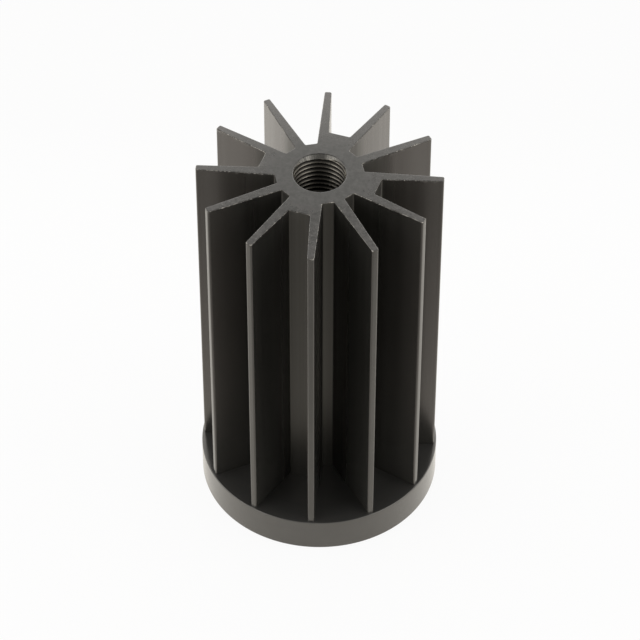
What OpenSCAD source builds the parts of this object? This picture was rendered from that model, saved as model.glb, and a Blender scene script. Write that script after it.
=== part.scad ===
// Round lamp heat sink: a turned disc foot carries a lobed hub with tapered radial fins,
// and the hub's top end has a blind hole for a fine thread. It is one solid piece of aluminium.
// Millimetres, +Z up, origin at the centre of the disc's underside, shallow slots facing X and Y.

/* [Overall] */
// Diameter of the disc foot
base_d = 45; // [36:0.5:60]
// Height from the disc's underside to the top ends of the fins
height = 75; // [40:1:120]
// Thickness of the disc foot
base_h = 7; // [3:0.5:14]
// Chamfer on the disc's two rims
base_edge = 0.25; // [0.05:0.05:1]

/* [Fins] */
// Number of fins, evenly spaced
fin_count = 12; // [6:3:18]
// Ledge of the disc left clear outside the fins
fin_ledge = 0.4; // [0.1:0.1:3]
// Fin thickness at the floor of the deep slots
fin_root_t = 2; // [1.2:0.1:2.6]
// Fin thickness at the tip
fin_tip_t = 1.25; // [0.8:0.05:1.8]
// Rounding of a fin's two outer corners
fin_tip_r = 0.3; // [0.05:0.05:0.35]
// Fillet where a fin runs into the hub
fin_root_r = 0.3; // [0.05:0.05:0.5]

/* [Hub] */
// Distance across the hub between opposite deep slot floors
hub_af = 15.8; // [13:0.1:18]
// Distance across the hub between opposite shallow slot floors
lobe_af = 21.8; // [18:0.1:28]
// One slot in this many is a shallow one
lobe_every = 3; // [2:1:4]

/* [Threaded hole] */
// Outer diameter of the thread
thread_d = 10; // [6:0.5:12]
// Pitch of the thread
thread_pitch = 1; // [0.5:0.25:1.5]
// Depth of the thread as a share of its pitch, which sets the core hole
thread_depth = 0.4; // [0.3:0.05:0.6]
// Depth of the drilled core hole at its full width
drill_depth = 20; // [10:1:30]
// Angle of the cone that the drill's point leaves
drill_point = 118; // [90:1:140]
// Reach of the countersunk mouth outside the thread
mouth_margin = 0.2; // [0.05:0.05:1]
// Angle of the countersunk mouth's cone
mouth_angle = 75; // [60:15:120]

/* [Hidden] */

// Round surfaces and the straight steps of a small corner arc
$fn = 96;
arc_steps = 5;

// Room by which the hole's cutter stands out of the top end
cutter_room = 1;

base_r = base_d / 2;
fin_r = base_r - fin_ledge;
fin_pitch = 360 / fin_count;
half_pitch = fin_pitch / 2;

// Taper of each side of a fin, in millimetres for each millimetre outwards
side_taper = (fin_root_t - fin_tip_t) / 2 / (fin_r - hub_af / 2);

core_r = thread_d / 2 - thread_depth * thread_pitch;
mouth_r = thread_d / 2 + mouth_margin;
mouth_slope = tan(mouth_angle / 2);
mouth_depth = (mouth_r - core_r) / mouth_slope;
drill_point_h = core_r / tan(drill_point / 2);

function turned(p, angle) = [
    p.x * cos(angle) - p.y * sin(angle),
    p.x * sin(angle) + p.y * cos(angle)
];

// Half the thickness of a fin at a distance from the axis
function fin_half_t(x) = fin_tip_t / 2 + side_taper * (fin_r - x);

// Distance of a slot's flat floor from the axis
function slot_floor(i) = (i % lobe_every == 0 ? lobe_af : hub_af) / 2;

// Distance from the axis, along a fin, at which its side meets a slot floor
function slot_corner_x(floor_r) =
    (floor_r - fin_half_t(0) * sin(half_pitch)) / (cos(half_pitch) - side_taper * sin(half_pitch));

// Corners of the finned section in order round the axis, each with its rounding:
// the two ends of a slot floor, then the two outer corners of the fin that follows it
function section_corners() = [
    for (i = [0 : fin_count - 1])
        let (
            fin_before = i * fin_pitch - half_pitch,
            fin_after = i * fin_pitch + half_pitch,
            x = slot_corner_x(slot_floor(i)),
            y = fin_half_t(x)
        )
        each [
            [turned([x, y], fin_before), fin_root_r],
            [turned([x, -y], fin_after), fin_root_r],
            [turned([fin_r, -fin_tip_t / 2], fin_after), fin_tip_r],
            [turned([fin_r, fin_tip_t / 2], fin_after), fin_tip_r]
        ]
];

// Arc of radius r that rounds the corner b between its neighbours a and c
function rounded_corner(a, b, c, r) =
    let (
        towards_a = (a - b) / norm(a - b),
        towards_c = (c - b) / norm(c - b),
        half_angle = acos(towards_a * towards_c) / 2,
        middle = (towards_a + towards_c) / norm(towards_a + towards_c),
        centre = b + middle * r / sin(half_angle),
        first = b + towards_a * r / tan(half_angle) - centre,
        last = b + towards_c * r / tan(half_angle) - centre,
        sweep = 180 - 2 * half_angle
    )
    [
        for (i = [0 : arc_steps])
            let (part = i / arc_steps)
            centre + (first * sin((1 - part) * sweep) + last * sin(part * sweep)) / sin(sweep)
    ];

// Cross-section of the hub with its fins
module finned_section() {
    corners = section_corners();
    n = len(corners);
    polygon([
        for (i = [0 : n - 1])
            each rounded_corner(
                corners[(i + n - 1) % n][0], corners[i][0], corners[(i + 1) % n][0], corners[i][1]
            )
    ]);
}

// Disc with a chamfer on both rims, turned about the axis
module disc_foot() {
    rotate_extrude()
        polygon([
            [0, 0],
            [base_r - base_edge, 0],
            [base_r, base_edge],
            [base_r, base_h - base_edge],
            [base_r - base_edge, base_h],
            [0, base_h]
        ]);
}

// Space of the core hole: countersunk mouth, straight wall and the drill's cone
module core_hole() {
    translate([0, 0, height])
        rotate_extrude()
            polygon([
                [0, cutter_room],
                [0, -drill_depth - drill_point_h],
                [core_r, -drill_depth],
                [core_r, -mouth_depth],
                [mouth_r + cutter_room * mouth_slope, cutter_room]
            ]);
}

module heat_sink() {
    color([0.25, 0.245, 0.235])
        difference() {
            union() {
                disc_foot();
                translate([0, 0, base_h])
                    linear_extrude(height - base_h)
                        finned_section();
            }
            core_hole();
        }
}

heat_sink();
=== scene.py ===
"""Looks of a round heat sink: a turned disc foot, a lobed hub with twelve fins, and a threaded hole."""
import math

import bpy
import numpy as np
from mathutils import Matrix, Vector
from mathutils.geometry import delaunay_2d_cdt


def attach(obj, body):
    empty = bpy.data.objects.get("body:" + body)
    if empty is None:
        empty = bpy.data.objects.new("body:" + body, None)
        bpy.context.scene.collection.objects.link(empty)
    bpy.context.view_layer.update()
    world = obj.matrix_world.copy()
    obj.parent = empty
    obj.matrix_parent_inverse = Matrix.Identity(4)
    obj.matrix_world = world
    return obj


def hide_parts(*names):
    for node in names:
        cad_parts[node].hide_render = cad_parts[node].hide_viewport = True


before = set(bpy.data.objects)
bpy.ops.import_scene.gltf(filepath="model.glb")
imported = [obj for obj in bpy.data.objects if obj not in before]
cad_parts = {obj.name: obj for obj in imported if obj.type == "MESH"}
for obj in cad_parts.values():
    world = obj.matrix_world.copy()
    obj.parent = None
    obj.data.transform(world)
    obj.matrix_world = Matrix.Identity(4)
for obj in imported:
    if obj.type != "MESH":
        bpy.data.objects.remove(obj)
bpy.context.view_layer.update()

# Sizes of the part in millimetres, the same as in the CAD source
MM = 0.001
BASE_R = 22.5
BASE_H = 7.0
HEIGHT = 75.0
FIN_COUNT = 12
FIN_R = 22.1
FIN_ROOT_T = 2.0
FIN_TIP_T = 1.25
FIN_TIP_R = 0.3
FIN_ROOT_R = 0.3
HUB_R = 7.9
LOBE_R = 10.9
LOBE_EVERY = 3
CORE_R = 4.6
MOUTH_R = 5.2
MOUTH_SLOPE = math.tan(math.radians(75 / 2))
DRILL_DEPTH = 20.0
DRILL_POINT = math.radians(118)

# The thread, which only the looks carry
PITCH = 1.0
THREAD_R = 5.0
THREAD_END = 58.0
THREAD_FADE = 1.6
THREAD_START = 54.98

# Density of the mesh
ARC_STEPS = 6
WALL_STEP = 0.2
DISC_COLUMNS = 240
HOLE_COLUMNS = 168

# Angle from which an edge is sharp, and distances under which points are one or lie on a surface
SHARP_ANGLE = math.radians(40)
SAME_PLACE = 1e-7
ON_SURFACE = 1e-6

# Finishes, in the order of the mesh's material slots
EXTRUDED, SAWN, TURNED, FACED, COUNTERSUNK, THREADED = range(6)

SEED = 41
rng = np.random.default_rng(SEED)


class Shell:
    """Gathers the points, faces and finishes of one closed mesh."""

    def __init__(self):
        self.points, self.wear, self.faces, self.zones = [], [], [], []

    def add(self, x, y, z, wear=0.0):
        self.points.append((x, y, z))
        self.wear.append(wear)
        return len(self.points) - 1

    def loop(self, xy, z, wear=None):
        """A closed loop of points, at one height or at one height for each."""
        z = np.broadcast_to(z, len(xy))
        wear = np.zeros(len(xy)) if wear is None else wear
        return [self.add(x, y, h, w) for (x, y), h, w in zip(xy, z, wear)]

    def circle(self, r, z, columns, wear=0.0):
        return self.loop(circle_points(r, columns), z, np.full(columns, wear))

    def face(self, corners, zone):
        kept = [c for i, c in enumerate(corners) if c != corners[i - 1]]
        if len(kept) > 2:
            self.faces.append(kept)
            self.zones.append(zone)

    def bridge(self, first, following, zone):
        """Four-sided faces from one loop to the next, in one finish or with one for each face."""
        n = len(first)
        zones = np.broadcast_to(zone, n)
        for j in range(n):
            i = (j + 1) % n
            self.face([first[j], first[i], following[i], following[j]], int(zones[j]))

    def chain(self, loops, zone):
        for first, following in zip(loops, loops[1:]):
            self.bridge(first, following, zone)

    def fan(self, loop, tip, zone, outwards=False):
        n = len(loop)
        for j in range(n):
            i = (j + 1) % n
            self.face([tip, loop[i], loop[j]] if outwards else [loop[j], loop[i], tip], zone)

    def seen_from_above(self, loop):
        return np.array([self.points[i][:2] for i in loop])

    def fill(self, outer, inner, inside, z, zone):
        """Flat faces between an outer and an inner loop, with some points of their own in between."""
        ids = [*outer, *inner]
        fixed = [Vector(self.points[i][:2]) for i in ids]
        edges = ring_edges(0, len(outer)) + ring_edges(len(outer), len(inner))
        flat = delaunay_2d_cdt(fixed + [Vector(p) for p in inside], edges, [], 0, SAME_PLACE)
        places, faces, sources = flat[0], flat[2], flat[3]
        known = [min(s) if s else None for s in sources]
        at = [
            ids[k] if k is not None and k < len(ids) else self.add(p.x, p.y, z)
            for p, k in zip(places, known)
        ]
        middles = np.array([sum((places[i] for i in f), Vector((0, 0))) / len(f) for f in faces])
        in_hole = within(middles, self.seen_from_above(inner))
        keep = within(middles, self.seen_from_above(outer)) & ~in_hole
        for f, kept in zip(faces, keep):
            if kept:
                self.face([at[i] for i in facing_up(f, places)], zone)

    def to_object(self, name, materials):
        mesh = bpy.data.meshes.new(name)
        mesh.from_pydata((np.array(self.points) * MM).tolist(), [], self.faces)
        for m in materials:
            mesh.materials.append(m)
        mesh.polygons.foreach_set("material_index", np.array(self.zones, np.int32))
        wear = mesh.attributes.new("wear", "FLOAT", "POINT")
        wear.data.foreach_set("value", np.array(self.wear, np.float32))
        mesh.shade_smooth()
        mesh.set_sharp_from_angle(angle=SHARP_ANGLE)
        mesh.update()
        piece = bpy.data.objects.new(name, mesh)
        bpy.context.scene.collection.objects.link(piece)
        return piece


def circle_points(r, columns):
    a = np.arange(columns) * 2 * math.pi / columns
    return np.stack([r * np.cos(a), r * np.sin(a)], 1)


def ring_edges(start, n):
    return [(start + i, start + (i + 1) % n) for i in range(n)]


def facing_up(face, places):
    """A triangle's corners, in the order that turns its front upwards."""
    a, b, c = (places[i] for i in face)
    return face if (b - a).cross(c - a) > 0 else face[::-1]


def within(points, polygon):
    """Which points lie in a polygon, by counting the edges that a ray towards +X crosses."""
    a, b = polygon, np.roll(polygon, -1, 0)
    inside = np.zeros(len(points), bool)
    for i, (x, y) in enumerate(points):
        spans = (a[:, 1] > y) != (b[:, 1] > y)
        at = a[spans, 0] + (y - a[spans, 1]) * (b[spans, 0] - a[spans, 0]) / (b[spans, 1] - a[spans, 1])
        inside[i] = np.count_nonzero(at > x) % 2 == 1
    return inside


def smooth_step(t):
    t = np.clip(t, 0, 1)
    return t * t * (3 - 2 * t)


def wobble(count, width):
    """Random values round a closed line, smoothed over a width in points, with a spread of 1."""
    raw = np.fft.rfft(rng.standard_normal(count))
    k = np.arange(len(raw))
    line = np.fft.irfft(raw * np.exp(-0.5 * (k * 2 * math.pi * width / count) ** 2), count)
    return line / line.std()


def wobbles(count, lines):
    """Sum of random lines, each with its share and its width."""
    return sum(share * wobble(count, width) for share, width in lines)


# The finned section
SIDE_TAPER = (FIN_ROOT_T - FIN_TIP_T) / 2 / (FIN_R - HUB_R)


def turned_by(x, y, angle):
    c, s = math.cos(angle), math.sin(angle)
    return np.array([x * c - y * s, x * s + y * c])


def fin_half_t(x):
    return FIN_TIP_T / 2 + SIDE_TAPER * (FIN_R - x)


def section_corners():
    """Sharp corners of the section in order round the axis, each with its rounding."""
    pitch = 2 * math.pi / FIN_COUNT
    half = pitch / 2
    corners = []
    for i in range(FIN_COUNT):
        floor_r = LOBE_R if i % LOBE_EVERY == 0 else HUB_R
        x = (floor_r - fin_half_t(0) * math.sin(half)) / (math.cos(half) - SIDE_TAPER * math.sin(half))
        y = fin_half_t(x)
        before, after = i * pitch - half, i * pitch + half
        corners.append((turned_by(x, y, before), FIN_ROOT_R))
        corners.append((turned_by(x, -y, after), FIN_ROOT_R))
        corners.append((turned_by(FIN_R, -FIN_TIP_T / 2, after), FIN_TIP_R))
        corners.append((turned_by(FIN_R, FIN_TIP_T / 2, after), FIN_TIP_R))
    return corners


def corner_arc(a, b, c, r):
    """Points of the arc that rounds corner b, each with its direction out of the section."""
    to_a, to_c = (a - b) / np.linalg.norm(a - b), (c - b) / np.linalg.norm(c - b)
    half = math.acos(float(to_a @ to_c)) / 2
    middle = (to_a + to_c) / np.linalg.norm(to_a + to_c)
    centre = b + middle * r / math.sin(half)
    first, last = b + to_a * r / math.tan(half) - centre, b + to_c * r / math.tan(half) - centre
    sweep = math.pi - 2 * half
    convex = (b - a)[0] * (c - b)[1] - (b - a)[1] * (c - b)[0] > 0
    arc = []
    for i in range(ARC_STEPS + 1):
        t = i / ARC_STEPS
        arm = (first * math.sin((1 - t) * sweep) + last * math.sin(t * sweep)) / math.sin(sweep)
        arc.append((centre + arm, (arm if convex else -arm) / r))
    return arc


def section_outline():
    """Points round the section, close together, and the direction out of the section at each."""
    corners = section_corners()
    n = len(corners)
    arcs = [
        corner_arc(corners[i - 1][0], corners[i][0], corners[(i + 1) % n][0], corners[i][1])
        for i in range(n)
    ]
    points = []
    for i, arc in enumerate(arcs):
        points += arc
        start, out = arc[-1]
        end = arcs[(i + 1) % n][0][0]
        steps = max(1, round(float(np.linalg.norm(end - start)) / WALL_STEP))
        points += [(start + (end - start) * k / steps, out) for k in range(1, steps)]
    return np.array([p for p, _ in points]), np.array([out for _, out in points])


# The saw left the top end towards this side, so its edges there carry the burr
SAW_EXIT = math.radians(-75)

# The burr: its least and most reach, its share elsewhere, how it falls off towards there, and its sag
BURR_LEAST = 0.002
BURR_MOST = 0.13
BURR_ELSEWHERE = 0.02
BURR_FALL = 1.2
BURR_SAG = 0.25

# How ragged the burr is: shares and widths of its random lines, and what is added to them
RAGGED = [(0.55, 1.3), (0.6, 6)]
RAGGED_LIFT = 0.1

# Spots of bared metal on the top edges: shares and widths of their random lines, what is added, the most
SPOTS = [(1.0, 0.6), (0.4, 12)]
SPOTS_LIFT = -0.75
SPOTS_MOST = 0.8

# Metal bared along all top edges, and the share left on the edges that face away from the saw's exit
EDGE_BARE = 0.5
EDGE_BARE_SPREAD = 0.12
EDGE_BARE_WIDTH = 2
BARE_ELSEWHERE = 0.9

# Knocks on the top edges: place, reach along the edge, depth
NICKS = [
    (4.5, -6.2, 0.28, 0.07),
    (2.6, -7.8, 0.22, 0.05),
    (6.1, -21.3, 0.45, 0.12),
    (-5.2, -21.5, 0.45, 0.10),
    (15.1, -16.0, 0.40, 0.09),
    (-7.9, -9.0, 0.30, 0.05),
    (-13.2, -13.9, 0.35, 0.06),
    (21.1, -6.2, 0.30, 0.06),
    (-6.2, -21.1, 0.22, 0.04),
]

# Share of a knock's depth by which it goes into the wall
KNOCK_INWARDS = 0.6

# Loops of the top edge, from the wall to the flat: inset, depth, share of the burr, share of the wear
TOP_EDGE = [
    (0.0, 0.60, 0.0, 0.0),
    (0.0, 0.24, 0.12, 0.1),
    (0.0, 0.11, 0.7, 0.6),
    (0.03, 0.03, 1.0, 1.0),
    (0.08, 0.0, 0.6, 0.8),
    (0.14, 0.0, 0.1, 0.25),
    (0.19, 0.0, 0.0, 0.0),
    (0.22, 0.0, 0.0, 0.0),
    (0.27, 0.0, 0.0, 0.0),
]

# The loop of the top edge at which the wall's finish ends
EDGE_TURN = 3

# Heights of the loops up the walls, and the width that the turned tips take of the fins' corners
WALL_HEIGHTS = [BASE_H, 7.15, 7.6, 12, 24, 40, 56, 66, 72]
TIP_STRIP = 0.06


def edge_faults(points, outs):
    """Burr, knock depth and bared metal at each point of the section's top edge."""
    n = len(points)
    facing = np.clip(outs @ [math.cos(SAW_EXIT), math.sin(SAW_EXIT)], 0, 1)
    ragged = np.clip(wobbles(n, RAGGED) + RAGGED_LIFT, 0, 2) / 2
    burr = BURR_LEAST + BURR_MOST * ragged * (BURR_ELSEWHERE + (1 - BURR_ELSEWHERE) * facing**BURR_FALL)
    bare = np.clip(wobbles(n, SPOTS) + SPOTS_LIFT, 0, SPOTS_MOST)
    bare = np.maximum(bare, EDGE_BARE + EDGE_BARE_SPREAD * wobble(n, EDGE_BARE_WIDTH))
    bare *= BARE_ELSEWHERE + (1 - BARE_ELSEWHERE) * facing
    knock = np.zeros(n)
    for x, y, reach, depth in NICKS:
        away = np.hypot(points[:, 0] - x, points[:, 1] - y)
        away -= away.min()
        share = np.exp(-((away / reach) ** 2) * 2)
        knock = np.maximum(knock, depth * share)
        bare = np.maximum(bare, share)
    return burr, knock, bare


def top_edge_loops(shell, points, outs):
    burr, knock, bare = edge_faults(points, outs)
    loops = []
    for inset, depth, burr_share, wear_share in TOP_EDGE:
        off = burr * burr_share - inset - KNOCK_INWARDS * knock * wear_share
        z = HEIGHT - depth - BURR_SAG * burr * burr_share - knock * wear_share
        loops.append(shell.loop(points + outs * off[:, None], z, bare * wear_share))
    return loops


def fin_walls(shell, points, outs):
    """The walls from the disc up and over the top edge. Returns the lowest and the last loop."""
    loops = [shell.loop(points, z) for z in WALL_HEIGHTS]
    top = top_edge_loops(shell, points, outs)
    middles = (points + np.roll(points, -1, 0)) / 2
    finish = np.where(np.hypot(*middles.T) > FIN_R - TIP_STRIP, TURNED, EXTRUDED)
    shell.chain([*loops, *top[: EDGE_TURN + 1]], finish)
    shell.chain(top[EDGE_TURN:], SAWN)
    return loops[0], top[-1]


def fin_middles(first_r, last_r, step):
    """Points along the middle of every fin, for an even fill of the top face."""
    points = []
    for i in range(FIN_COUNT):
        a = (i + 0.5) * 2 * math.pi / FIN_COUNT
        points += [(r * math.cos(a), r * math.sin(a)) for r in np.arange(first_r, last_r, step)]
    return points


# The turned disc: radii of the rings on its underside, heights of those on its side
UNDERSIDE_RINGS = [1.5, 4, 8, 12, 16, 19.5, 21.5, BASE_R - 0.29]
SIDE_RINGS = [2.2, 3.5, 4.8]

# The disc's rims, as steps along their chamfer: inset, depth
LOW_RIM = [(0.25, 0.012), (0.16, 0.09), (0.07, 0.18), (0.012, 0.25), (0.0, 0.32), (0.0, 0.6)]
HIGH_RIM = [(0.0, 0.5), (0.0, 0.18), (0.008, 0.11), (0.04, 0.06), (0.09, 0.02), (0.13, 0.003)]

# Inset at which the disc's flat upper face starts
UPPER_INSET = 0.17


def disc_foot(shell):
    """Underside, rim and the edge of the disc's upper face. Returns the upper face's outer loop."""
    centre = shell.add(0, 0, 0)
    faced = [shell.circle(r, 0, DISC_COLUMNS) for r in UNDERSIDE_RINGS]
    shell.fan(faced[0], centre, TURNED, outwards=True)
    low = [shell.circle(BASE_R - inset, z, DISC_COLUMNS) for inset, z in LOW_RIM]
    middle = [shell.circle(BASE_R, z, DISC_COLUMNS) for z in SIDE_RINGS]
    high = [shell.circle(BASE_R - inset, BASE_H - z, DISC_COLUMNS) for inset, z in HIGH_RIM]
    edge = shell.circle(BASE_R - UPPER_INSET, BASE_H, DISC_COLUMNS)
    shell.chain([*faced, *low, *middle, *high, edge], TURNED)
    return edge


# The hole's mouth reaches as far as the CAD's on one side, and less far across and opposite to it
MOUTH_SIDE = math.radians(109)
MOUTH_ACROSS = 4.84
MOUTH_FRONT = 4.96

# Rounding of the mouth's edge, rings on the flat top outside it, and the height at which its loops end
MOUTH_ROUND = 0.25
MOUTH_FLAT = [0.1, 0.04]
CONE_END = HEIGHT - 0.12

# The thread's start: its least depth, its height above the cone's end, the height in which it fades in
LEAD_LEAST = 0.14
LEAD_ON_CONE = 0.28
LEAD_FADE = 0.4

# The thread's rows join the loops that cut them off within this height, and the lower loop is worn
CUT_MARGIN = 0.004
THREAD_END_WEAR = 0.4

# Heights of the rings on the plain wall above the drill's cone, and radii of those on the cone
PLAIN_RINGS = [1.5, 0.1, 0.0]
POINT_RINGS = [4.4, 3.0, 1.5, 0.4]

# One turn of the thread as shares of the pitch and of its depth
TURN = [
    (0.0, 0.0), (0.06, 0.0), (0.09, 0.05), (0.24, 0.5), (0.39, 0.95), (0.43, 1.0),
    (0.5, 1.0), (0.57, 1.0), (0.61, 0.95), (0.76, 0.5), (0.91, 0.05), (0.94, 0.0),
]


def mouth_reach(a):
    """Distance of the mouth's edge from the axis in a direction."""
    c = np.cos(a - MOUTH_SIDE)
    return MOUTH_ACROSS + (np.where(c > 0, MOUTH_R, MOUTH_FRONT) - MOUTH_ACROSS) * c**2


def mouth_edge():
    """Rings of the mouth's rounded edge, from the flat top to the cone: reach outside it, height."""
    turn = math.pi / 2 - math.atan(MOUTH_SLOPE)
    start = MOUTH_ROUND * math.tan(turn / 2)
    flat = [(start + more, HEIGHT) for more in MOUTH_FLAT]
    arc = [turn * i / ARC_STEPS for i in range(ARC_STEPS + 1)]
    rounded = [
        (start - MOUTH_ROUND * math.sin(t), HEIGHT - MOUTH_ROUND * (1 - math.cos(t)))
        for t in arc
    ]
    return flat + rounded


def mouth_cone(a, z):
    """Distance of the countersunk mouth's cone from the axis in a direction and at a height."""
    return mouth_reach(a) - (HEIGHT - z) * MOUTH_SLOPE


def on_mouth_cone(point):
    x, y, z = point
    return abs(math.hypot(x, y) - mouth_cone(math.atan2(y, x), z)) < ON_SURFACE


def lead_in(a):
    """Height at which the thread starts in a direction."""
    return HEIGHT - max(LEAD_LEAST, (mouth_reach(a) - CORE_R) / MOUTH_SLOPE - LEAD_ON_CONE)


def mouth_loop(shell, outside, z, wear=0.0):
    """A loop round the hole that follows the mouth's edge at a distance."""
    a = np.arange(HOLE_COLUMNS) * 2 * math.pi / HOLE_COLUMNS
    reach = mouth_reach(a) + outside
    around = np.stack([reach * np.cos(a), reach * np.sin(a)], 1)
    return shell.loop(around, z, np.full(HOLE_COLUMNS, wear))


def thread_point(a, z, share):
    """Point and wear of the tapped wall in a direction, at a height and a share of the thread's depth;
    low wear also marks the grooves' painted shade.
    """
    fade = smooth_step((z - THREAD_END) / THREAD_FADE) * smooth_step((lead_in(a) - z) / LEAD_FADE)
    depth = (THREAD_R - CORE_R) * share * fade
    cone = mouth_cone(a, z)
    r = max(CORE_R + depth, cone)
    return r * math.cos(a), r * math.sin(a), z, max(1 - share, float(cone >= r))


def thread_wall(shell, top, bottom):
    """The thread as rows that wind up the hole, cut off level by the two loops."""
    rows, n = len(TURN), HOLE_COLUMNS
    made = {}

    def at(j, k):
        if j == n:
            return at(0, k + rows)
        turn, step = divmod(k, rows)
        rise, share = TURN[step]
        z = THREAD_START + PITCH * (turn + rise + j / n)
        if z >= CONE_END - CUT_MARGIN:
            return top[j]
        if z <= THREAD_END + CUT_MARGIN:
            return bottom[j]
        if (j, k) not in made:
            made[j, k] = shell.add(*thread_point(2 * math.pi * j / n, z, share))
        return made[j, k]

    turns = math.ceil((CONE_END - THREAD_START) / PITCH) + 1
    for j in range(n):
        for k in range(-rows, turns * rows):
            corners = [at(j, k + 1), at(j + 1, k + 1), at(j + 1, k), at(j, k)]
            cut = all(on_mouth_cone(shell.points[c]) for c in corners)
            shell.face(corners, COUNTERSUNK if cut else THREADED)


def hole(shell):
    """The mouth, the thread, the plain wall under it and the drill's cone. Returns the mouth's loop."""
    n = HOLE_COLUMNS
    mouth = [mouth_loop(shell, outside, z) for outside, z in mouth_edge()]
    cone_end = mouth_loop(shell, (CONE_END - HEIGHT) * MOUTH_SLOPE, CONE_END, 1.0)
    shell.chain(mouth, SAWN)
    shell.bridge(mouth[-1], cone_end, COUNTERSUNK)
    thread_end = shell.circle(CORE_R, THREAD_END, n, THREAD_END_WEAR)
    thread_wall(shell, cone_end, thread_end)
    floor_z = HEIGHT - DRILL_DEPTH
    slope = math.tan(DRILL_POINT / 2)
    wall = [shell.circle(CORE_R, floor_z + up, n) for up in PLAIN_RINGS]
    point = [shell.circle(r, floor_z - (CORE_R - r) / slope, n) for r in POINT_RINGS]
    shell.chain([thread_end, *wall, *point], THREADED)
    shell.fan(point[-1], shell.add(0, 0, floor_z - CORE_R / slope), THREADED)
    return mouth[0]


# Nodes of materials, with the direction of the axis and the stretch that leaves height out
UP = (0, 0, 1)
LEVEL = (1, 1, 0)

# Sockets of a mix node for two colours and for their mix
FIRST_COLOUR, SECOND_COLOUR, MIXED_COLOUR = 6, 7, 2


def wire(tree, kind, settings=None, **sockets):
    """A node with its settings and sockets. A socket takes a value or another node's output."""
    node = tree.nodes.new(kind)
    for name, value in (settings or {}).items():
        setattr(node, name, value)
    for name, value in sockets.items():
        socket = node.inputs[int(name[1:])] if name[0] == "_" else node.inputs[name.replace("_", " ")]
        if isinstance(value, bpy.types.NodeSocket):
            tree.links.new(value, socket)
        else:
            socket.default_value = value
    return node


def numbered(values):
    """Values under the names that stand for a node's sockets in their order."""
    return {f"_{i}": value for i, value in enumerate(values)}


def math_node(tree, operation, *values):
    return wire(tree, "ShaderNodeMath", {"operation": operation}, **numbered(values)).outputs[0]


def vector_math(tree, operation, *values):
    return wire(tree, "ShaderNodeVectorMath", {"operation": operation}, **numbered(values)).outputs


def weighted(tree, first, share, second):
    """The first value times its share, plus the second value times the rest."""
    rest = math_node(tree, "MULTIPLY", second, 1 - share)
    return math_node(tree, "MULTIPLY_ADD", first, share, rest)


def ranged(tree, value, low, high, to_low, to_high):
    limits = {"From_Min": low, "From_Max": high, "To_Min": to_low, "To_Max": to_high}
    return wire(tree, "ShaderNodeMapRange", Value=value, **limits).outputs[0]


def noise(tree, vector, scale, detail=2.0, rough=0.5):
    look = {"Scale": scale, "Detail": detail, "Roughness": rough}
    return wire(tree, "ShaderNodeTexNoise", Vector=vector, **look).outputs["Fac"]


def mixed(tree, share, first, second):
    """Mix of two colours. Each is a value or another node's output."""
    node = wire(tree, "ShaderNodeMix", {"data_type": "RGBA"}, Factor=share)
    for i, value in ((FIRST_COLOUR, first), (SECOND_COLOUR, second)):
        if isinstance(value, bpy.types.NodeSocket):
            tree.links.new(value, node.inputs[i])
        else:
            node.inputs[i].default_value = (*value, 1)
    return node.outputs[MIXED_COLOUR]


def bumped(tree, height, strength, distance):
    return wire(tree, "ShaderNodeBump", Strength=strength, Distance=distance, Height=height).outputs[0]


def wear(tree):
    return wire(tree, "ShaderNodeAttribute", {"attribute_name": "wear"}).outputs["Fac"]


def place(tree, stretch=(1, 1, 1)):
    """The place on the object in metres, stretched along its axes."""
    at = wire(tree, "ShaderNodeTexCoord").outputs["Object"]
    return vector_math(tree, "MULTIPLY", at, stretch)["Vector"]


def along(tree, vector, direction):
    """How far a vector reaches in a direction."""
    return vector_math(tree, "DOT_PRODUCT", vector, direction)["Value"]


def distance_from_axis(tree):
    return vector_math(tree, "LENGTH", place(tree, LEVEL))["Value"]


def around_axis(tree):
    """Direction from the axis, the same all along a radius."""
    return vector_math(tree, "NORMALIZE", place(tree, LEVEL))["Vector"]


def radius_and_height(tree, across):
    """Distance from the axis and height, as the lines of a lathe run, with a small share of X."""
    at = wire(tree, "ShaderNodeSeparateXYZ", Vector=place(tree)).outputs
    drift = math_node(tree, "MULTIPLY", at["X"], across)
    return wire(tree, "ShaderNodeCombineXYZ", X=distance_from_axis(tree), Y=at["Z"], Z=drift).outputs[0]


# Colours of the finishes, from dark to pale
WALL_COLOURS = ((0.0125, 0.0122, 0.0104), (0.035, 0.034, 0.0298))
SAWN_COLOURS = ((0.0008, 0.0019, 0.0008), (0.075, 0.0697, 0.0659))
TURNED_COLOURS = ((0.036, 0.0347, 0.0318), (0.092, 0.0898, 0.0855))
FACED_COLOURS = ((0.028, 0.0272, 0.0255), (0.066, 0.0638, 0.0594))
COUNTERSUNK_COLOURS = ((0.071, 0.068, 0.062), (0.178, 0.17, 0.152))
# The thread's dark colour is painted shade in its grooves and down the hole; its pale colour is worn
# metal on the crests
THREAD_SHADE_AND_CREST_COLOURS = ((0.008, 0.0075, 0.0065), (0.26, 0.239, 0.2))

# Bare metal, and how much rougher it is than the skin
BARE = (0.60, 0.565, 0.50)
BARE_ROUGHER = 0.3

# The oxide skin and its seal
OXIDE_IOR = 1.65
OXIDE_TINT = (1.0, 0.94, 0.84, 1)
HUB_TINT = (1.0, 0.94, 0.82)
WALL_TINT = (1.0, 0.88, 0.81)
SEAL = 0.5
SEAL_IOR = 1.5

# Depth of the relief in metres
SKIN_RELIEF = 0.00005
MARKS_RELIEF = 0.00006
THREAD_RELIEF = 0.00004

# Distances from the axis between which the hub's look turns into the fins'
FIN_START = (0.0115, 0.0135)

# Stretch that draws noise out along the part
DRAWN = (1, 1, 0.002)

# Strength of the relief and range of roughness of lathe-turned faces
LATHE_BUMP = 0.06
LATHE_GLOSS = (0.14, 0.2)


def material(name):
    made = bpy.data.materials.new(name)
    made.use_nodes = True
    tree = made.node_tree
    shader = tree.nodes["Principled BSDF"]
    shader.inputs["IOR"].default_value = OXIDE_IOR
    shader.inputs["Specular Tint"].default_value = OXIDE_TINT
    return made, tree, shader


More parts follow.
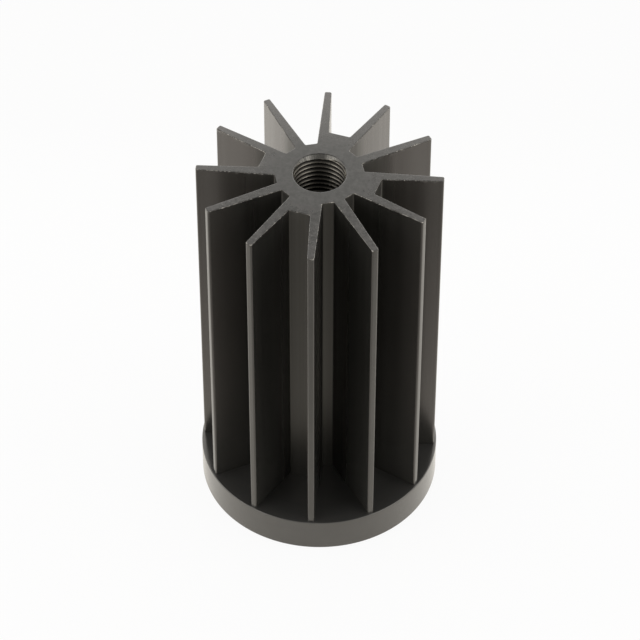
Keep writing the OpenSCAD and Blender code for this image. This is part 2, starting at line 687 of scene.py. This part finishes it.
def anodised(name, tone, gloss, height, bump, gloss_range, colours):
    """A dyed and sealed oxide skin, worn bare in places. Its textures are functions of the tree."""
    made, tree, shader = material(name)
    shader.inputs["Coat Weight"].default_value = SEAL
    shader.inputs["Coat IOR"].default_value = SEAL_IOR
    grit = noise(tree, place(tree), 7000, 3, 0.6)
    share = math_node(tree, "MULTIPLY", wear(tree), ranged(tree, grit, 0.35, 0.65, 0.35, 1.0))
    share = ranged(tree, share, 0.25, 0.7, 0.0, 1.0)
    skin = mixed(tree, tone(tree), *colours)
    links = tree.links
    links.new(mixed(tree, share, skin, BARE), shader.inputs["Base Color"])
    links.new(share, shader.inputs["Metallic"])
    rough = ranged(tree, gloss(tree), 0.3, 0.7, *gloss_range)
    rough = math_node(tree, "MULTIPLY_ADD", share, BARE_ROUGHER, rough)
    relief = bumped(tree, height(tree), bump, SKIN_RELIEF)
    for layer in ("", "Coat "):
        links.new(rough, shader.inputs[layer + "Roughness"])
        links.new(relief, shader.inputs[layer + "Normal"])
    return made


def drawn_lines(tree):
    fine = noise(tree, place(tree, DRAWN), 2600, 3, 0.6)
    broad = noise(tree, place(tree, DRAWN), 520, 2)
    return weighted(tree, fine, 0.5, broad)


def wall_reflections(made):
    """Tint and strength of the walls' reflections, which differ between the hub and the fins."""
    tree = made.node_tree
    shader = tree.nodes["Principled BSDF"]
    on_fin = ranged(tree, distance_from_axis(tree), *FIN_START, 0.0, 1.0)
    tree.links.new(mixed(tree, on_fin, HUB_TINT, WALL_TINT), shader.inputs["Specular Tint"])
    seal = ranged(tree, distance_from_axis(tree), 0.011, 0.02, -0.1, 0.4)
    seal = math_node(tree, "MULTIPLY_ADD", drawn_lines(tree), 0.9, seal)
    tree.links.new(seal, shader.inputs["Coat Weight"])


def extruded_material():
    """Walls drawn through a die: fine lines run along the part, and the skin is paler low down and
    further out, which is painted light low on the fins and painted shade deep in the slots near the hub.
    """

    def tone(tree):
        out = distance_from_axis(tree)
        # Painted light: paler low down on the fins, near the disc
        low = ranged(tree, along(tree, place(tree), UP), 0.008, 0.045, 0.6, 0.0)
        low = math_node(tree, "MULTIPLY", low, ranged(tree, out, *FIN_START, 0.0, 1.0))
        # Painted shade: darker deep in the slots, towards the hub
        painted_slot_shade = ranged(tree, out, 0.01, 0.021, -0.3, -0.08)
        return math_node(tree, "MULTIPLY_ADD", drawn_lines(tree), 0.9, math_node(tree, "ADD", low, painted_slot_shade))

    def relief(tree):
        fine = noise(tree, place(tree, DRAWN), 3400, 3, 0.6)
        matt = noise(tree, place(tree), 9000, 2)
        return math_node(tree, "MULTIPLY_ADD", matt, 0.25, fine)

    def gloss(tree):
        """Duller deep in the slots, where nothing rubs."""
        deep = ranged(tree, distance_from_axis(tree), 0.008, 0.0135, 0.85, 0.3)
        return math_node(tree, "MULTIPLY_ADD", drawn_lines(tree), 0.15, deep)

    made = anodised("anodised_extruded", tone, gloss, relief, 0.08, (0.22, 0.43), WALL_COLOURS)
    wall_reflections(made)
    return made


def sawn_material():
    """The cut top end: a matt, finely mottled face, paler towards the tips of the fins."""

    def mottle(tree):
        fine = noise(tree, place(tree), 1900, 3, 0.6)
        soft = noise(tree, place(tree), 800, 2, 0.5)
        return weighted(tree, fine, 0.6, soft)

    def tone(tree):
        outwards = ranged(tree, distance_from_axis(tree), 0.006, 0.022, -0.67, -0.14)
        return math_node(tree, "MULTIPLY_ADD", mottle(tree), 1.6, outwards)

    def gloss(tree):
        """Duller round the hole."""
        hub = ranged(tree, distance_from_axis(tree), 0.0065, 0.011, 0.45, 0.15)
        return math_node(tree, "MULTIPLY_ADD", mottle(tree), 0.5, hub)

    return anodised("anodised_sawn", tone, gloss, mottle, 0.12, (0.2, 0.38), SAWN_COLOURS)


def lathe_lines(tree):
    fine = noise(tree, radius_and_height(tree, 0.02), 5200, 3, 0.6)
    broad = noise(tree, place(tree), 260, 2)
    return weighted(tree, fine, 0.5, broad)


def lathe_turned(name, tone, colours):
    return anodised(name, tone, lathe_lines, lathe_lines, LATHE_BUMP, LATHE_GLOSS, colours)


def turned_material():
    """The disc's side and the tips of the fins, with a lathe's lines round them. The disc is paler."""

    def tone(tree):
        disc = ranged(tree, distance_from_axis(tree), 0.0222, 0.0224, -0.15, 0.22)
        clouds = math_node(tree, "MULTIPLY_ADD", noise(tree, place(tree), 130, 2), 0.3, disc)
        return math_node(tree, "MULTIPLY_ADD", lathe_lines(tree), 0.25, clouds)

    return lathe_turned("anodised_turned", tone, TURNED_COLOURS)


def faced_material():
    """The disc's upper face between the fins, with painted light that makes it paler towards the hub and
    darker towards its rim.
    """

    def tone(tree):
        # Painted light: paler deep between the fins near the hub, darker towards the rim
        painted_hub_light = ranged(tree, distance_from_axis(tree), 0.012, 0.018, 0.85, 0.3)
        return math_node(tree, "MULTIPLY_ADD", lathe_lines(tree), 0.15, painted_hub_light)

    return lathe_turned("anodised_faced", tone, FACED_COLOURS)


def countersunk_material():
    """The mouth of the hole: the cutter's marks run across it, and some have worn bright."""
    made, tree, shader = material("anodised_countersink")
    marks = noise(tree, around_axis(tree), 16, 3, 0.65)
    glint = ranged(tree, marks, 0.36, 0.62, 0.0, 1.0)
    links = tree.links
    links.new(mixed(tree, glint, *COUNTERSUNK_COLOURS), shader.inputs["Base Color"])
    links.new(ranged(tree, glint, 0.0, 1.0, 0.5, 0.75), shader.inputs["Metallic"])
    links.new(ranged(tree, marks, 0.3, 0.7, 0.34, 0.22), shader.inputs["Roughness"])
    links.new(bumped(tree, marks, 0.4, MARKS_RELIEF), shader.inputs["Normal"])
    return made


def threaded_material():
    """The tapped wall: dark in the grooves from painted shade, and worn paler along the crests."""
    made, tree, shader = material("tapped_thread")
    grit = noise(tree, place(tree), 5000, 3, 0.6)
    # Wear on the crests, whose absence sets the painted shade in the grooves
    crest_wear_and_groove_shade = math_node(tree, "POWER", ranged(tree, wear(tree), 0.2, 1.0, 0.0, 1.0), 1.6)
    share = math_node(tree, "MULTIPLY", crest_wear_and_groove_shade, ranged(tree, grit, 0.3, 0.7, 0.6, 1.0))
    links = tree.links
    links.new(mixed(tree, share, *THREAD_SHADE_AND_CREST_COLOURS), shader.inputs["Base Color"])
    links.new(ranged(tree, share, 0, 0.6, 0.0, 0.95), shader.inputs["Metallic"])
    # The grooves reflect less, as painted shade
    links.new(ranged(tree, share, 0, 1, 0.12, 0.5), shader.inputs["Specular IOR Level"])
    links.new(ranged(tree, share, 0, 1, 0.4, 0.22), shader.inputs["Roughness"])
    links.new(bumped(tree, grit, 0.15, THREAD_RELIEF), shader.inputs["Normal"])
    return made


# Points inside the flat faces: rings on the disc and round the hole, and rows along the fins
DISC_FILL_RINGS = [12.0, 15.0, 18.0, 20.5]
HUB_FILL_RINGS = [5.9, 6.8]
HUB_FILL_COLUMNS = 72
FIN_FILL_START = 9.5
FIN_FILL_STEP = 0.8


def heat_sink():
    """The whole part as one piece."""
    shell = Shell()
    points, outs = section_outline()
    disc_edge = disc_foot(shell)
    foot, top = fin_walls(shell, points, outs)
    between = [p for r in DISC_FILL_RINGS for p in circle_points(r, FIN_COUNT)]
    shell.fill(disc_edge, foot, between, BASE_H, FACED)
    mouth = hole(shell)
    on_fins = fin_middles(FIN_FILL_START, FIN_R - FIN_FILL_STEP, FIN_FILL_STEP)
    on_hub = [tuple(p) for r in HUB_FILL_RINGS for p in circle_points(r, HUB_FILL_COLUMNS)]
    shell.fill(top, mouth, on_fins + on_hub, HEIGHT, SAWN)
    finishes = [
        extruded_material(), sawn_material(), turned_material(), faced_material(),
        countersunk_material(), threaded_material(),
    ]
    return shell.to_object("heat_sink_body", finishes)


# The camera, found by fitting the part's points to the photograph
CAMERA_AIM = Vector((0.0001, 0.00003, 0.03836))
CAMERA_AZIMUTH = 0.33097
CAMERA_ELEVATION = 0.78162
CAMERA_DISTANCE = 0.5812
CAMERA_LENS = 176.38
CAMERA_ROLL = 0.002
SENSOR_WIDTH = 36
CLIP_RANGE = (0.05, 50)
CAMERA_RIGHT = (math.cos(CAMERA_AZIMUTH), math.sin(CAMERA_AZIMUTH), 0)
CAMERA_AHEAD = (-math.sin(CAMERA_AZIMUTH), math.cos(CAMERA_AZIMUTH), 0)


def camera():
    data = bpy.data.cameras.new("camera")
    data.lens, data.sensor_width = CAMERA_LENS, SENSOR_WIDTH
    data.clip_start, data.clip_end = CLIP_RANGE
    cam = bpy.data.objects.new("camera", data)
    back = Vector(UP) * math.sin(CAMERA_ELEVATION) - Vector(CAMERA_AHEAD) * math.cos(CAMERA_ELEVATION)
    turn = (-back).to_track_quat("-Z", "Y").to_matrix().to_4x4()
    roll = Matrix.Rotation(CAMERA_ROLL, 4, "Z")
    cam.matrix_world = Matrix.Translation(CAMERA_AIM + back * CAMERA_DISTANCE) @ turn @ roll
    bpy.context.scene.collection.objects.link(cam)
    bpy.context.scene.camera = cam


# The floor: half its width, its tones, and the share of white that it shows over them
FLOOR_HALF = 12.0
FLOOR_TONES = ((0.86, 0.85, 0.83), (0.90, 0.89, 0.87))
FLOOR_WHITE = 0.92

# The floor in reflections: colour, light in front, where it rises, more at the sides, less near the disc
FLOOR_WARMTH = (1.0, 0.96, 0.89)
FLOOR_FRONT = 0.4
FLOOR_RISE = (-0.08, 0.02)
FLOOR_SIDES = 0.2
FLOOR_NEAR = 0.92
FLOOR_NEAR_REACH = (0.026, 0.05)


def reflected_floor(tree):
    """Light of the floor in reflections, dimmer in front of the part and close to it."""
    outwards = vector_math(tree, "NORMALIZE", place(tree))["Vector"]
    sideways = math_node(tree, "ABSOLUTE", along(tree, outwards, CAMERA_RIGHT))
    sideways = math_node(tree, "POWER", sideways, 2.0)
    bright = ranged(tree, along(tree, place(tree), CAMERA_AHEAD), *FLOOR_RISE, FLOOR_FRONT, 1.0)
    bright = math_node(tree, "MULTIPLY_ADD", sideways, FLOOR_SIDES, bright)
    bright = math_node(tree, "MINIMUM", bright, 1.0)
    near = ranged(tree, distance_from_axis(tree), *FLOOR_NEAR_REACH, FLOOR_NEAR, 1.0)
    return math_node(tree, "MULTIPLY", bright, near)


def lit_floor():
    """A pale floor that shows as white, and keeps a faint shadow of the part."""
    made = bpy.data.materials.new("pale_floor")
    made.use_nodes = True
    tree = made.node_tree
    tree.nodes.clear()
    path = wire(tree, "ShaderNodeLightPath").outputs
    glossy = path["Is Glossy Ray"]
    seen = math_node(tree, "MAXIMUM", path["Is Camera Ray"], path["Is Transmission Ray"])
    share = math_node(tree, "MAXIMUM", math_node(tree, "MULTIPLY", seen, FLOOR_WHITE), glossy)
    grain = noise(tree, place(tree), 6, 2)
    matt = wire(tree, "ShaderNodeBsdfDiffuse", Color=mixed(tree, grain, *FLOOR_TONES)).outputs[0]
    colour = mixed(tree, glossy, (1, 1, 1), FLOOR_WARMTH)
    missing = math_node(tree, "SUBTRACT", 1.0, reflected_floor(tree))
    level = math_node(tree, "SUBTRACT", 1.0, math_node(tree, "MULTIPLY", glossy, missing))
    white = wire(tree, "ShaderNodeEmission", Color=colour, Strength=level).outputs[0]
    both = wire(tree, "ShaderNodeMixShader", _0=share, _1=matt, _2=white).outputs[0]
    wire(tree, "ShaderNodeOutputMaterial", Surface=both)
    return made


def stage_floor():
    mesh = bpy.data.meshes.new("floor")
    s = FLOOR_HALF
    mesh.from_pydata([(-s, -s, 0), (s, -s, 0), (s, s, 0), (-s, s, 0)], [], [(0, 1, 2, 3)])
    mesh.materials.append(lit_floor())
    floor = bpy.data.objects.new("floor", mesh)
    bpy.context.scene.collection.objects.link(floor)


# Light of the white tent by height, and how much of it is missing on the camera's side
TENT_LIGHT = [(0.0, 1.15), (0.38, 1.0), (0.6, 0.76), (0.72, 0.46), (0.85, 0.34), (1.0, 0.28)]
FRONT_SHADE = [(0.0, 0.0), (0.3, 0.15), (0.5, 0.8), (0.9, 0.8), (1.0, 0.3)]
FRONT_REACH = (-0.65, 0.0)


def curve(tree, value, points):
    """A value between 0 and 1 put through a line of points."""
    node = wire(tree, "ShaderNodeFloatCurve", Value=value)
    line = node.mapping.curves[0]
    most = max(y for _, y in points)
    for x, _ in points[1:-1]:
        line.points.new(x, 0)
    for point, (x, y) in zip(line.points, points):
        point.location = (x, y / most)
        point.handle_type = "VECTOR"
    node.mapping.update()
    return math_node(tree, "MULTIPLY", node.outputs[0], most)


def sky():
    """A white tent: bright low down and at the back, dim overhead and on the camera's side."""
    world = bpy.data.worlds.new("tent")
    world.use_nodes = True
    tree = world.node_tree
    tree.nodes.clear()
    towards = wire(tree, "ShaderNodeTexCoord").outputs["Generated"]
    upwards = math_node(tree, "MAXIMUM", along(tree, towards, UP), 0.0)
    in_front = ranged(tree, along(tree, towards, CAMERA_AHEAD), *FRONT_REACH, 1.0, 0.0)
    shade = math_node(tree, "MULTIPLY", curve(tree, upwards, FRONT_SHADE), in_front)
    unshaded = math_node(tree, "SUBTRACT", 1.0, shade)
    light = math_node(tree, "MULTIPLY", curve(tree, upwards, TENT_LIGHT), unshaded)
    seen = wire(tree, "ShaderNodeLightPath").outputs["Is Camera Ray"]
    shown = wire(tree, "ShaderNodeMix", {"data_type": "FLOAT"}, Factor=seen, _2=light, _3=1.0).outputs[0]
    white = wire(tree, "ShaderNodeBackground", Color=(1, 1, 1, 1), Strength=shown)
    wire(tree, "ShaderNodeOutputWorld", Surface=white.outputs[0])
    bpy.context.scene.world = world


# Soft panels: name, place to the camera's right, ahead and up, height of the aim, size, light
PANELS = [
    ("back_panel", 0.0, 0.10, 0.109, 0.109, (0.4, 0.108), 1.0),
    ("left_panel", -0.383, -0.0675, 0.459, 0.07, (0.44, 0.27), 1.9),
    ("left_low_panel", -0.42, -0.33, 0.347, 0.075, (0.48, 0.17), 1.6),
    ("right_panel", 0.383, -0.0675, 0.459, 0.07, (0.44, 0.27), 1.9),
    ("right_low_panel", 0.42, -0.33, 0.347, 0.075, (0.48, 0.17), 1.6),
]


def soft_panel(name, right, ahead, height, aim, size, light):
    """A soft panel that faces the axis at a height, as bright as the given share of white."""
    data = bpy.data.lights.new(name, "AREA")
    data.shape, data.size, data.size_y = "RECTANGLE", *size
    data.energy = light * math.pi * size[0] * size[1]
    lamp = bpy.data.objects.new(name, data)
    lamp.location = Vector(CAMERA_RIGHT) * right + Vector(CAMERA_AHEAD) * ahead + Vector((0, 0, height))
    lamp.rotation_euler = (Vector((0, 0, aim)) - lamp.location).to_track_quat("-Z", "Y").to_euler()
    lamp.visible_camera = False
    bpy.context.scene.collection.objects.link(lamp)


camera()
sky()
for panel in PANELS:
    soft_panel(*panel)
stage_floor()

piece = heat_sink()
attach(piece, "root")
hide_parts("heat_sink")

bpy.context.scene.view_settings.view_transform = "Standard"
